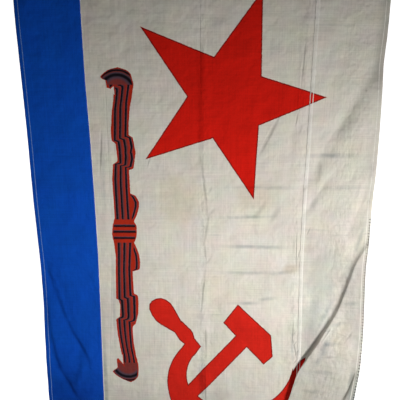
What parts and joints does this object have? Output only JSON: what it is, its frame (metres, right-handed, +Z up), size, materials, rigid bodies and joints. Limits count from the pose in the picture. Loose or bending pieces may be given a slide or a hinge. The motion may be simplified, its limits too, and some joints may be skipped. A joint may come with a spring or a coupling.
{
  "type": "worn hanging cloth flag",
  "caption": "Worn cotton flag hung by its hoist edge, with a blue side stripe, a lapped strip and a long diagonal pleat.",
  "frame": {"origin": "middle of the hoist edge, the top edge as the flag hangs", "axes": "+Z up, so the cloth hangs towards -Z; the printed face looks along -Y; +X runs across the flag away from its blue stripe"},
  "size_m": [1.1499, 0.176, 1.75],
  "materials": {
    "blue_cloth": "dyed plain-weave cotton, faded and creased",
    "printed_white_cloth": "off-white plain-weave cotton with red and orange figures dyed through it, with storage stains",
    "white_cloth": "off-white plain-weave cotton, greyed, with a worn oversewn hem"
  },
  "bodies": {
    "root": {"blue_stripe": "blue_cloth", "white_field": "printed_white_cloth", "white_strip": "white_cloth"}
  },
  "joints": []
}
